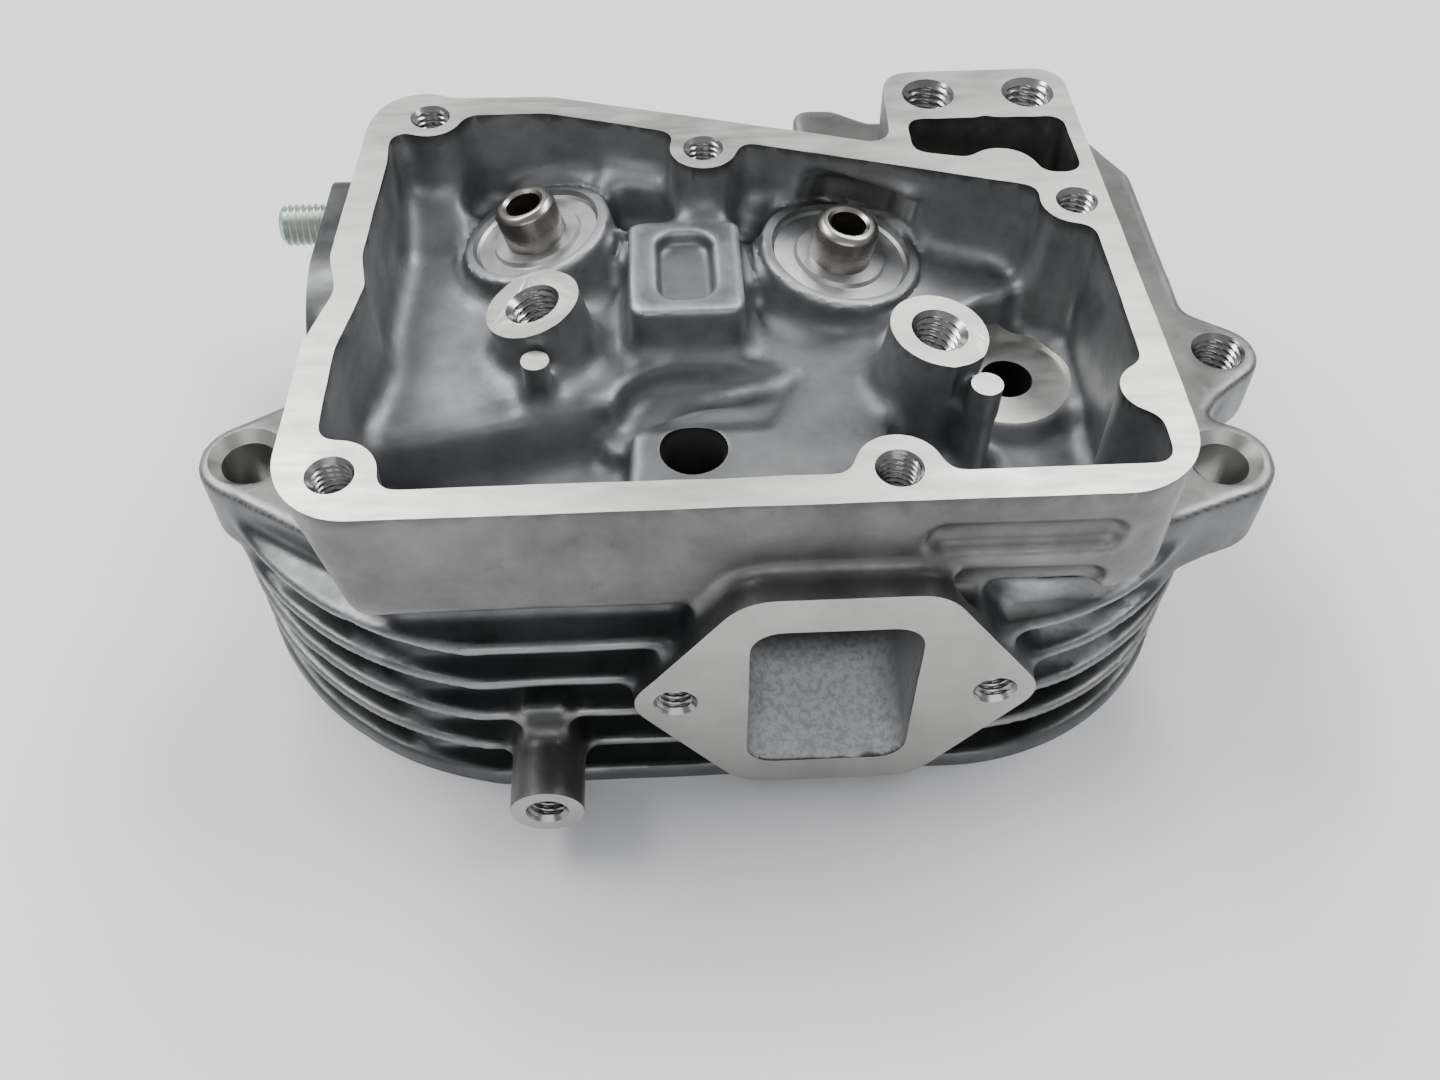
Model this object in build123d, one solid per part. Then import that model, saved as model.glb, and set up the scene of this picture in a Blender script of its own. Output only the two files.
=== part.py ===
"""Cylinder head of a small air-cooled overhead-valve engine.

One aluminium casting carries two valve guides, two valve seats and two exhaust studs.
Frame: millimetres, origin on the bore axis at the gasket face, +X away from the exhaust side,
+Y away from the intake side, +Z up to the rocker cover face.
"""
import os
from math import cos, radians, sin

from build123d import *

# heights
COVER_FACE = 66.0
DECK = 45.0
WALL_FOOT = 44.4
FIN_TOPS = (39.0, 30.1, 21.1, 12.2)
FIN_THICKNESS = 2.0
GASKET_PLATE = 3.2

# threads: half the tap drill, half the mouth of the chamfer
M6_DRILL, M6_MOUTH = 2.5, 3.35
M8_DRILL, M8_MOUTH = 3.4, 4.5
PLUG_DRILL = 6.35
CLEARANCE_M8 = 4.3
SCREW_DEPTH = 15.0

# rocker cover face
FRONT_WALL = -70.1
CAVITY_FRONT = -65.0
COVER_SCREWS = ((-43.0, 19.1), (3.0, 8.1), (62.0, -8.6), (26.3, -64.3), (-49.3, -62.0))
COVER_SCREW_BOSSES = (5.6, 5.6, 5.9, 6.1, 6.3)
BRACKET_SCREWS = ((42.5, 21.9), (59.8, 21.7))
BRACKET_POCKET_FLOOR = 50.0
BACK_WALL_START = (-23.2, 19.2)
BACK_WALL_SLOPE = 0.2999

# rocker box floor
MAIN_FLOOR = 47.5
TROUGH = 41.5
RIGHT_FLOOR = 39.0
LEFT_POCKET_FLOOR = 20.0
RIGHT_POCKET_FLOOR = 24.0
PORT_ROOF = 46.0
PAD_TOP = 57.0
PAD_RECESS = 3.0
SPOT_FACE = 42.0
PUSHROD_HOLE = 7.0
PUSHRODS = ((-26.0, -50.0), (47.0, -52.0))

# valves: middle of the spring seat, lean from upright, seat ring and guide sizes
VALVE_LINE_TURN = 8.1
EXHAUST = {"at": (-25.9, 3.0, 54.0), "lean": -15.0, "spring_seat": 13.1, "drop": 47.0,
           "seat": 12.5, "throat": 10.2}
INTAKE = {"at": (25.5, -4.5, 54.0), "lean": 8.5, "spring_seat": 13.7, "drop": 45.5,
          "seat": 14.5, "throat": 12.2}
SPRING_SEAT_RECESS = 1.6
GUIDE_RADIUS = 5.25
GUIDE_BORE = 3.0
GUIDE_ABOVE = 6.0
GUIDE_BELOW = 24.0
SEAT_HEIGHT = 6.0

# rocker studs bosses and their round posts
EXHAUST_ROCKER_BOSS = (-25.2, -19.0, 57.0)
INTAKE_ROCKER_BOSS = (37.7, -30.2, 59.0)
ROCKER_BOSS_RADIUS = 7.8
EXHAUST_POST = (-24.6, -29.8, 55.0, 2.2)
INTAKE_POST = (43.6, -40.2, 57.0, 2.4)

# ports and flanges
INTAKE_FACE = -75.5
INTAKE_MIDDLE = (19.2, 27.6)
INTAKE_PORT = (18.6, 27.3, 25.1, 36.4)
INTAKE_SCREW_SPACING = 48.0
EXHAUST_FACE = -68.0
EXHAUST_PORT = (12.0, 22.0, 13.0)
EXHAUST_STUDS = ((36.0, 31.3), (-12.0, 13.0))
STUD_RADIUS = 4.0
STUD_LENGTH = 25.0
STUD_IN_METAL = 14.0

# chamber and gasket side
CHAMBER_RADIUS = 33.0
CHAMBER_DEPTH = 12.0
PLUG_START = (4.0, 16.0, 9.3)
PLUG_RISE = 40.0
PLUG_THREAD = 17.0
PLUG_WELL = 11.0
HEAD_BOLTS = ((-0.6, -42.4), (52.0, -23.5), (-46.0, 36.0), (46.0, 38.0))

# ears: middle of the hole
LEFT_EAR = (-69.8, -38.4)
RIGHT_EAR = (81.4, -45.7)
THREADED_EAR = (87.1, -22.1)
SHROUD_SCREW = (-25.1, 12.0)
SHROUD_BOSS_END = -84.3


def rod(x, y, radius, bottom, top):
    """Upright round bar."""
    return Pos(x, y, bottom) * Cylinder(radius, top - bottom, align=(Align.CENTER, Align.CENTER, Align.MIN))


def rounded_face(points, radius):
    """Closed outline with rounded corners."""
    return make_face(FilletPolyline(*points, radius=radius, close=True).edges())


def soften(face, radius):
    """Round the outward corners of a face."""
    return offset(offset(face, amount=-radius, kind=Kind.ARC), amount=radius, kind=Kind.ARC)


def column(points, radius, bottom, top):
    """Upright block with rounded corners."""
    return extrude(Pos(0, 0, bottom) * rounded_face(points, radius), amount=top - bottom)


def valve_plane(valve):
    """Plane through the middle of the spring seat, facing along the valve stem."""
    turn = radians(VALVE_LINE_TURN)
    lean = radians(valve["lean"])
    axis = (sin(lean) * cos(turn), -sin(lean) * sin(turn), cos(lean))
    return Plane(origin=valve["at"], z_dir=axis)


def along_valve(valve, radius, low, high):
    """Round bar on the valve axis, measured from the spring seat."""
    return valve_plane(valve) * rod(0, 0, radius, low, high)


def leaning_plane(point, valve):
    """Plane at a rocker boss face, parallel to the spring seat next to it."""
    return Plane(origin=point, z_dir=valve_plane(valve).z_dir)


def screw_hole(drill, mouth, depth):
    """Tapped hole at its drill size, opening upwards at the origin, with a chamfered mouth."""
    lead = mouth - drill
    hole = Pos(0, 0, -depth) * Cylinder(drill, depth, align=(Align.CENTER, Align.CENTER, Align.MIN))
    chamfer_cut = Pos(0, 0, -lead) * Cone(drill, mouth, lead, align=(Align.CENTER, Align.CENTER, Align.MIN))
    return hole + chamfer_cut


def fin_outline():
    """Outline shared by the cooling fins and the gasket plate."""
    front_left = (-34.0, -72.5)
    left = (-76.5, -38.0)
    right = (84.0, -35.0)
    front_right = (38.0, -72.5)
    back_right = [(84.0, 26.0), (82.9, 36.9), (79.1, 43.4), (70.0, 46.0)]
    back_left = [(-52.0, 46.0), (-64.0, 34.0), (-64.0, -22.0), (-76.5, -30.0)]
    curve = [Line(front_left, front_right)]
    curve.append(ThreePointArc(front_right, (66.0, -64.2), right))
    curve.append(Polyline(right, *back_right, *back_left, left))
    curve.append(ThreePointArc(left, (-61.5, -59.2), front_left))
    return make_face([edge for line in curve for edge in line.edges()])


def fins():
    """Gasket plate and the fins above it."""
    stack = extrude(fin_outline(), amount=GASKET_PLATE)
    for top in FIN_TOPS:
        stack += extrude(Pos(0, 0, top - FIN_THICKNESS) * fin_outline(), amount=FIN_THICKNESS)
    return stack


def core():
    """Solid metal inside the fins."""
    outline = [(-46, -66), (42, -66), (64, -54), (72, -36), (72, 26), (62, 36), (-50, 40), (-55, 26),
               (-55, -50)]
    return column(outline, 4, 0, DECK)


def rim_outline(corner_shift):
    """Outside of the rocker box; the front left corner moves in by the shift."""
    points = [(-58 + corner_shift, FRONT_WALL), (68.2, FRONT_WALL), (66.8, 28.8), (35.0, 28.7), (34.4, 7.6),
              (-22.8, 24.2), (-52.9, 24.8), (-55.2, -17.0), (-53.4, -24.8), (-56.8 + corner_shift / 2, -36.5)]
    radii = [11.5 - corner_shift, 12, 5, 5.5, 3, 15, 9, 6, 4, 8]
    return make_face(FilletPolyline(*points, radius=radii, close=True).edges())


def rocker_box():
    """Outer wall of the rocker box, leaning in at its front left corner."""
    lean_in = 7.5
    foot = Pos(0, 0, WALL_FOOT) * rim_outline(lean_in)
    box = loft([foot, Pos(0, 0, COVER_FACE) * rim_outline(0)], ruled=True)
    box += rod(-44.5, 17.8, 8.2, DECK - 2, COVER_FACE)
    bracket = [(66.8, -10.0), (66.8, 28.8), (35.0, 28.7), (34.4, -10.0)]
    return box + column(bracket, 5, DECK - 12, COVER_FACE)


def cavity_face():
    """Opening in the cover face: straight walls with round screw bosses standing in."""
    wall = Polyline((-52.2, CAVITY_FRONT), (63.5, CAVITY_FRONT), (63.5, -6.8), BACK_WALL_START, (-49.5, 19.3),
                    (-49.0, 7.2), (-50.3, -16.9), (-49.0, -23.9), (-51.8, -37.5), (-52.2, CAVITY_FRONT))
    face = make_face(wall.edges())
    face -= Pos(64.0, -51.0) * Circle(5.0)
    for (x, y), radius in zip(COVER_SCREWS, COVER_SCREW_BOSSES):
        face -= Pos(x, y) * Circle(radius)
    return soften(face, 2.2)


def pocket_face():
    """Opening of the pocket between the bracket screws."""
    corners = [(37.7, 14.7), (37.7, 5.5), (46.8, 3.4), (58.0, -1.0), (64.6, -1.2), (64.3, 14.5)]
    face = rounded_face(corners, 2.0)
    face += Pos(51.3, 18.0) * RectangleRounded(2.6, 17.6, 1.2)
    face -= Pos(51.8, -0.2) * Circle(6.0)
    for x, y in BRACKET_SCREWS:
        face -= Pos(x, y) * Circle(7.3)
    return soften(face, 1.0)


def cavity():
    """Air inside the rocker box, stepping down to the pushrod pockets."""
    face = cavity_face()
    full = extrude(face, amount=COVER_FACE)
    steps = [([(-60, -66), (70, -66), (70, 25), (-60, 25)], 1, MAIN_FLOOR)]
    trough = [(-15, -38), (-13.6, -33.3), (-11.3, -27.6), (-7.7, -24.8), (-2.8, -23.9), (13.1, -24.4),
              (18, -26), (12, -38)]
    steps.append((trough, 1.0, TROUGH))
    steps.append(([(-50.4, -66), (-12, -66), (-10, -34), (-15.8, -31), (-28, -29.8), (-50.4, -37.6)], 3,
                  LEFT_POCKET_FLOOR + 18))
    steps.append(([(-49, -62), (-15, -62), (-15, -42), (-49, -42)], 4, LEFT_POCKET_FLOOR))
    right_side = [(29, -66), (66, -66), (66, -2), (38, 6), (36, -6), (44, -22), (30, -37)]
    steps.append((right_side, 2, RIGHT_FLOOR))
    steps.append(([(38, -62), (61, -62), (61, -46), (38, -44)], 4, RIGHT_POCKET_FLOOR))
    air = None
    for points, radius, floor in steps:
        cut = full & column(points, radius, floor, COVER_FACE)
        air = cut if air is None else air + cut
    return air


def back_wall(x):
    """Y of the slanting back wall of the rocker box, on its inside."""
    return BACK_WALL_START[1] - BACK_WALL_SLOPE * (x - BACK_WALL_START[0])


def corner_slope():
    """Floor rising to the back wall in the back left corner."""
    foot = (2.5, MAIN_FLOOR - 1)
    section = Polyline((foot[0], MAIN_FLOOR - 4), foot, (16, MAIN_FLOOR + 9), (22, MAIN_FLOOR + 9),
                       (22, MAIN_FLOOR - 4), (foot[0], MAIN_FLOOR - 4))
    plane = Plane(origin=(-54, 0, 0), x_dir=(0, 1, 0), z_dir=(1, 0, 0))
    return extrude(plane * make_face(section.edges()), amount=15)


def wall_ledge(left, right, depth, top):
    """Low ledge along the slanting back wall."""
    points = [(left, back_wall(left) + 3), (right, back_wall(right) + 3), (right, back_wall(right) - depth),
              (left, back_wall(left) - depth)]
    return column(points, 1.2, MAIN_FLOOR - 4, top)


def rocker_furniture():
    """Everything cast up from the rocker box floor."""
    metal = column([(-10, -22), (8.5, -22), (8.5, 1.5), (-10, 1.5)], 2.5, MAIN_FLOOR - 4, PAD_TOP)
    port_hump = [(-9, -66), (28.4, -66), (28.4, -38.9), (25.5, -28.4), (7.1, -31.8), (0.7, -31.7),
                 (-8.8, -35.6)]
    metal += column(port_hump, 3, LEFT_POCKET_FLOOR, PORT_ROOF)
    metal += rod(52, -23.5, 11.5, RIGHT_FLOOR - 6, SPOT_FACE)
    metal += column([(33, -22), (52.8, -22), (52.8, -8.2), (39, -2), (33, -2)], 2.5, RIGHT_FLOOR - 4, 50)
    metal += corner_slope()
    metal += wall_ledge(-14.5, -4.0, 3.5, 57.0)
    metal += wall_ledge(-9.0, 20.0, 3.5, 54.0)
    metal += wall_ledge(19.0, 37.0, 3.0, 61.0)
    metal += along_valve(INTAKE, INTAKE["spring_seat"], -14, 0)
    metal += along_valve(EXHAUST, EXHAUST["spring_seat"], -10, 0)
    boss = rod(0, 0, ROCKER_BOSS_RADIUS, -14, 0)
    metal += leaning_plane(EXHAUST_ROCKER_BOSS, EXHAUST) * boss
    metal += leaning_plane(INTAKE_ROCKER_BOSS, INTAKE) * rod(0, 0, ROCKER_BOSS_RADIUS, -23, 0)
    for x, y, top, radius in (EXHAUST_POST, INTAKE_POST):
        metal += rod(x, y, radius, RIGHT_FLOOR - 3, top)
    metal += Pos(40.8, -35.4, 45) * Rot(0, 0, 31) * Box(2.6, 9, 21)
    return metal & extrude(Pos(0, 0, 1) * rim_outline(0), amount=COVER_FACE)


def rocker_machining():
    """Cuts made from above in the rocker box."""
    recess = [(-5.3, -18.3), (3.7, -18.3), (3.7, -2.3), (-5.3, -2.3)]
    cut = column(recess, 3, PAD_TOP - PAD_RECESS, COVER_FACE)
    for valve in (INTAKE, EXHAUST):
        outer = valve["spring_seat"]
        ring = along_valve(valve, outer - 1.6, -SPRING_SEAT_RECESS, 1)
        ring -= along_valve(valve, GUIDE_RADIUS + 2.6, -SPRING_SEAT_RECESS - 1, 2)
        cut += ring
        cut += along_valve(valve, GUIDE_RADIUS + 2.6, -SPRING_SEAT_RECESS + 0.8, 1)
    hole = screw_hole(M8_DRILL, M8_MOUTH, 20)
    cut += leaning_plane(EXHAUST_ROCKER_BOSS, EXHAUST) * hole
    cut += leaning_plane(INTAKE_ROCKER_BOSS, INTAKE) * hole
    cut += rod(52, -23.5, 10.4, SPOT_FACE - 0.6, COVER_FACE)
    for x, y in PUSHRODS:
        cut += rod(x, y, PUSHROD_HOLE, -1, RIGHT_FLOOR)
    return cut


def cover_face_holes():
    """Tapped holes in the cover face."""
    cut = None
    for x, y in COVER_SCREWS:
        hole = Pos(x, y, COVER_FACE) * screw_hole(M6_DRILL, M6_MOUTH, SCREW_DEPTH)
        cut = hole if cut is None else cut + hole
    for x, y in BRACKET_SCREWS:
        cut += Pos(x, y, COVER_FACE) * screw_hole(M8_DRILL, M8_MOUTH, SCREW_DEPTH + 3)
    return cut


def intake_plane():
    """Plane of the carburettor flange, facing away from the head."""
    origin = (INTAKE_MIDDLE[0], INTAKE_FACE, INTAKE_MIDDLE[1])
    return Plane(origin=origin, x_dir=(1, 0, 0), z_dir=(0, -1, 0))


def intake_flange():
    """Six-sided carburettor flange standing off the fins."""
    points = [(-14, -24.7), (14, -24.7), (31.5, 0), (14, 24.7), (-14, 24.7), (-31.5, 0)]
    face = make_face(FilletPolyline(*points, radius=[8, 8, 6, 8, 8, 6], close=True).edges())
    flange = extrude(intake_plane() * face, amount=-12)
    neck = Pos(INTAKE_MIDDLE[0], -60, INTAKE_MIDDLE[1] - 2) * Box(36, 20, 40)
    return flange + neck


def intake_port():
    """Air passage from the flange to the bowl over the intake valve."""
    port_x, port_z, port_width, port_height = INTAKE_PORT
    sections = []
    stations = [(INTAKE_FACE - 1, port_width, port_height, port_z, 4), (-60, 25, 31, 26, 6),
                (-30, 24, 25, 26.5, 9), (-8, 22, 22, 25, 9)]
    for y, width, height, middle, radius in stations:
        plane = Plane(origin=(port_x, y, middle), x_dir=(1, 0, 0), z_dir=(0, -1, 0))
        sections.append(plane * RectangleRounded(width, height, radius))
    return loft(sections) + bowl(INTAKE)


def bowl(valve):
    """Rounded space over the seat ring."""
    seat_top = SEAT_HEIGHT - valve["drop"]
    space = along_valve(valve, valve["throat"], seat_top - 1, seat_top + 16)
    return space + valve_plane(valve) * Pos(0, 0, seat_top + 16) * Sphere(valve["throat"])


def exhaust_port():
    """Gas passage from the bowl over the exhaust valve to the flange."""
    sections = []
    for x, y, z, radius in ((EXHAUST_FACE - 1, *EXHAUST_PORT), (-42, 8, 24, 11.5), (-18, 2.5, 25, 9.5)):
        plane = Plane(origin=(x, y, z), x_dir=(0, 1, 0), z_dir=(-1, 0, 0))
        sections.append(plane * Circle(radius))
    return loft(sections) + bowl(EXHAUST)


def exhaust_flange():
    """Flange for the exhaust pipe, a round middle drawn out to both studs."""
    (y_high, z_high), (y_low, z_low) = EXHAUST_STUDS
    y_port, z_port, radius = EXHAUST_PORT
    plane = Plane(origin=(EXHAUST_FACE, 0, 0), x_dir=(0, 1, 0), z_dir=(1, 0, 0))
    discs = Pos(y_port, z_port) * Circle(radius + 6.5)
    discs += Pos(y_high, z_high) * Circle(8)
    discs += Pos(y_low, z_low) * Circle(8)
    return extrude(plane * make_hull(discs.edges()), amount=14)


def ear(hole, radius, root, bottom, top):
    """Lug with a round end, drawn back into the casting."""
    face = make_hull((Pos(*hole) * Circle(radius) + make_face(Polyline(*root, root[0]).edges())).edges())
    return extrude(Pos(0, 0, bottom) * face, amount=top - bottom)


def ears():
    """Lugs and plates level with the deck."""
    metal = ear(LEFT_EAR, 7.6, [(-50, -60), (-50, -26), (-62, -25)], 32, DECK)
    metal += ear(RIGHT_EAR, 8.0, [(60, -62), (60, -36), (74, -34)], 31, DECK)
    metal += ear(THREADED_EAR, 6.7, [(64, -34), (64, -12), (84, -12), (80, -36)], 33, DECK)
    right_deck = [(60, -36), (84, -36), (84, 26), (76, 42), (60, 34)]
    metal += column(right_deck, 4, DECK - 4, DECK)
    lobes = [(22, 8), (60, 0), (76, 42), (50, 47), (37, 45), (30, 50), (22, 50)]
    metal += column(lobes, 3, DECK - 5, DECK)
    for x, y in HEAD_BOLTS[2:]:
        metal += rod(x, y, 9.5, 0, DECK - 5)
    return metal


def ear_holes():
    """Bolt holes through the ears and the tapped hole beside them."""
    cut = rod(*LEFT_EAR, CLEARANCE_M8, -1, DECK + 1)
    cut += rod(*RIGHT_EAR, CLEARANCE_M8, 29, DECK + 1)
    mouth = Cone(CLEARANCE_M8, 6.0, 1.7, align=(Align.CENTER, Align.CENTER, Align.MAX))
    for x, y in (LEFT_EAR, RIGHT_EAR):
        cut += Pos(x, y, DECK) * mouth
    cut += Pos(*THREADED_EAR, DECK) * screw_hole(M8_DRILL, M8_MOUTH, 14)
    for x, y in HEAD_BOLTS:
        cut += rod(x, y, CLEARANCE_M8, -1, DECK + 4)
    return cut


def shroud_boss():
    """Round boss between the lower front fins with a web above it."""
    x, z = SHROUD_SCREW
    length = -66 - SHROUD_BOSS_END
    plane = Plane(origin=(x, SHROUD_BOSS_END, z), x_dir=(1, 0, 0), z_dir=(0, -1, 0))
    metal = plane * rod(0, 0, 5.8, -length - 4, 0)
    metal += Pos(x, -70, z + 6) * Box(7, 7, 12)
    hole = plane * screw_hole(M6_DRILL, M6_MOUTH, SCREW_DEPTH)
    return metal, hole


def front_wall_relief():
    """Two shallow grooves in the right half of the front wall."""
    cut = None
    for middle_x, middle_z, width, height in ((44, 57, 28, 6), (45, 47, 24, 6)):
        plane = Plane(origin=(middle_x, FRONT_WALL, middle_z), x_dir=(1, 0, 0), z_dir=(0, -1, 0))
        groove = extrude(plane * RectangleRounded(width, height, 2.9), amount=2.2, both=True)
        cut = groove if cut is None else cut + groove
    return cut


def chamber():
    """Combustion chamber with the recess under each seat ring."""
    radius = (CHAMBER_RADIUS ** 2 + CHAMBER_DEPTH ** 2) / (2 * CHAMBER_DEPTH)
    space = Pos(0, 0, CHAMBER_DEPTH - radius) * Sphere(radius)
    space &= rod(0, 0, CHAMBER_RADIUS, -1, CHAMBER_DEPTH + 1)
    for valve in (INTAKE, EXHAUST):
        space += along_valve(valve, valve["seat"], -valve["drop"] - 6, SEAT_HEIGHT - valve["drop"])
    return space


def spark_plug_hole():
    """Tapped hole from the chamber with an open well behind it."""
    rise = radians(PLUG_RISE)
    plane = Plane(origin=PLUG_START, x_dir=(1, 0, 0), z_dir=(0, cos(rise), sin(rise)))
    return plane * (rod(0, 0, PLUG_DRILL, -6, PLUG_THREAD) + rod(0, 0, PLUG_WELL, PLUG_THREAD, 60))


def stud_plane(stud):
    """Plane on the exhaust flange at a stud, facing away from the head."""
    return Plane(origin=(EXHAUST_FACE, stud[0], stud[1]), x_dir=(0, 1, 0), z_dir=(-1, 0, 0))


def head_casting():
    """The whole casting with all its machined faces and holes."""
    metal = fins() + core() + rocker_box() + ears() + exhaust_flange() + intake_flange()
    boss, boss_hole = shroud_boss()
    metal += boss
    metal -= cavity()
    metal += rocker_furniture()
    metal -= extrude(Pos(0, 0, BRACKET_POCKET_FLOOR) * pocket_face(), amount=COVER_FACE)
    metal -= front_wall_relief()
    metal -= rocker_machining()
    metal -= cover_face_holes()
    metal -= ear_holes()
    metal -= boss_hole
    metal -= chamber()
    metal -= intake_port()
    metal -= exhaust_port()
    metal -= spark_plug_hole()
    for side in (-1, 1):
        hole = screw_hole(M6_DRILL, M6_MOUTH, SCREW_DEPTH)
        metal -= intake_plane() * Pos(side * INTAKE_SCREW_SPACING / 2, 0, 0) * hole
    for stud in EXHAUST_STUDS:
        metal -= stud_plane(stud) * screw_hole(M8_DRILL, M8_MOUTH, STUD_IN_METAL)
    for valve in (INTAKE, EXHAUST):
        metal -= along_valve(valve, GUIDE_RADIUS, -GUIDE_BELOW, 3)
    return metal


def valve_guide(valve):
    """Steel sleeve with chamfered ends."""
    body = rod(0, 0, GUIDE_RADIUS, -GUIDE_BELOW, GUIDE_ABOVE)
    body = chamfer(body.edges().filter_by(GeomType.CIRCLE), 0.8)
    body -= rod(0, 0, GUIDE_BORE, -GUIDE_BELOW - 1, GUIDE_ABOVE + 1)
    return valve_plane(valve) * body


def valve_seat(valve):
    """Hard ring with a conical face for the valve."""
    bottom = -valve["drop"]
    ring = rod(0, 0, valve["seat"], bottom, bottom + SEAT_HEIGHT)
    ring -= rod(0, 0, valve["throat"], bottom - 1, bottom + SEAT_HEIGHT + 1)
    width = 0.7 * (valve["seat"] - valve["throat"])
    stand = (Align.CENTER, Align.CENTER, Align.MIN)
    cone = Cone(valve["throat"] + width, valve["throat"], width, align=stand)
    return valve_plane(valve) * (ring - Pos(0, 0, bottom) * cone)


def exhaust_stud(stud):
    """Threaded bar standing out of the exhaust flange."""
    bar = rod(0, 0, STUD_RADIUS, 0, STUD_LENGTH - STUD_IN_METAL)
    end = bar.faces().sort_by(Axis.Z)[-1].edges()
    bar = chamfer(end, 0.8) + rod(0, 0, M8_DRILL, -STUD_IN_METAL, 0)
    return stud_plane(stud) * bar


def main():
    os.makedirs("parts", exist_ok=True)
    rear, front = EXHAUST_STUDS
    nodes = {"head_casting": head_casting(), "intake_valve_guide": valve_guide(INTAKE),
             "exhaust_valve_guide": valve_guide(EXHAUST), "intake_valve_seat": valve_seat(INTAKE),
             "exhaust_valve_seat": valve_seat(EXHAUST), "exhaust_stud_rear": exhaust_stud(rear),
             "exhaust_stud_front": exhaust_stud(front)}
    for name, shape in nodes.items():
        export_step(shape, f"parts/{name}.step")


main()
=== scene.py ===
import math

import bpy
import numpy as np
import openvdb as vdb
from mathutils import Matrix, Vector


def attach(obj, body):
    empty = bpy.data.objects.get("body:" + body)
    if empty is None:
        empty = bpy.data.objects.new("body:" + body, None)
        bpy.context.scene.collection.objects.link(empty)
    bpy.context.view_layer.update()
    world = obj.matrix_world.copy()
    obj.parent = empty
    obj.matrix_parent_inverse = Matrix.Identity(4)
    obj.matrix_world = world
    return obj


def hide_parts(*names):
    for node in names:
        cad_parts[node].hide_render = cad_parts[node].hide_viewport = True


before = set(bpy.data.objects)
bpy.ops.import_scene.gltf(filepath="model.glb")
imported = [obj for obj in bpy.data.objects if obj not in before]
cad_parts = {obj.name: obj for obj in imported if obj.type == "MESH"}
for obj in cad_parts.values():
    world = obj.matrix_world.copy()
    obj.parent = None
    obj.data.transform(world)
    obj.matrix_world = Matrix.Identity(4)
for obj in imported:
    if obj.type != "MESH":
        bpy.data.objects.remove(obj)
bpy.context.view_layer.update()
MM = 0.001

# ---------------------------------------------------------------- dimensions, mm, as in the frame
COVER_FACE = 66.0
DECK = 45.0
INTAKE_FACE = -75.5
EXHAUST_FACE = -68.0
BOSS_FACE = -84.3
M6 = {"minor": 2.5, "major": 3.0, "pitch": 1.0, "mouth": 3.35}
M8 = {"minor": 3.4, "major": 4.0, "pitch": 1.25, "mouth": 4.5}
M14 = {"minor": 6.35, "major": 7.0, "pitch": 1.25, "mouth": 7.2}
COVER_SCREWS = ((-43.0, 19.1), (3.0, 8.1), (62.0, -8.6), (26.3, -64.3), (-49.3, -62.0))
BRACKET_SCREWS = ((42.5, 21.9), (59.8, 21.7))
INTAKE_SCREWS = ((-4.8, 27.6), (43.2, 27.6))
THREADED_EAR = (87.1, -22.1)
PLAIN_EARS = ((-69.8, -38.4), (81.4, -45.7))
HEAD_BOLTS = ((-0.6, -42.4), (52.0, -23.5), (-46.0, 36.0), (46.0, 38.0))
SHROUD_SCREW = (-25.1, 12.0)
BOLT_RADIUS = 4.3
OIL_HOLE = 4.8
ROCKER_BOSS_RADIUS = 7.8
SPOT_FACE = 41.4
SPOT_RADIUS = 10.4
PLUG_THREAD = 17.0
M6_DEPTH = 15.0
M8_DEPTH = 18.0
EAR_THREAD_DEPTH = 14.0
ROCKER_THREAD_DEPTH = 20.0
OVERRUN = 2.0
EXHAUST = {"at": (-25.9, 3.0, 54.0), "lean": -15.0, "ring": 13.1, "drop": 47.0, "seat": 12.5, "throat": 10.2}
INTAKE = {"at": (25.5, -4.5, 54.0), "lean": 8.5, "ring": 13.7, "drop": 45.5, "seat": 14.5, "throat": 12.2}
STEM_TURN = 8.1
SEAT_HEIGHT = 6.0
RING_LIP = 2.1
GUIDE_OUTSIDE = 5.25
GUIDE_BORE = 3.0
EXHAUST_ROCKER_BOSS = (-25.2, -19.0, 57.0)
INTAKE_ROCKER_BOSS = (37.7, -30.2, 59.0)
POSTS = ((-24.6, -29.8, 55.0, 2.2), (43.6, -40.2, 57.0, 2.4))
MAIN_FLOOR = 47.5
BACK_WALL_START = (-23.2, 19.2)
BACK_WALL_SLOPE = 0.2999

# casting before it is machined: fillet radii, stock that stands proud of a face or just under it
FILLET = 1.1
CAVITY_FILLET = 2.4
PROUD = 3.0
UNDER = 0.2
FAR = 300.0
REACH = 120.0

# radii of the round bars of stock that fill the holes
M6_BAR = 4.2
M8_BAR = 5.4
SHROUD_BAR = 5.7
EAR_THREAD_BAR = 5.5
EAR_BAR = 6.5
OIL_BAR = 5.5
SPOT_BAR = 8
GUIDE_BAR = 7.5
PLUG_BAR = 9
SEAT_WALL = 1.5

# side faces: where each milling cut starts and ends along the face, and how high it reaches
CUT_FOOT = 1.2
INTAKE_CUT = (-16, 56, 57)
SHROUD_CUT = (-40, -16.5, 30)
EXHAUST_CUT = (-26, 49, 50)

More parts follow.
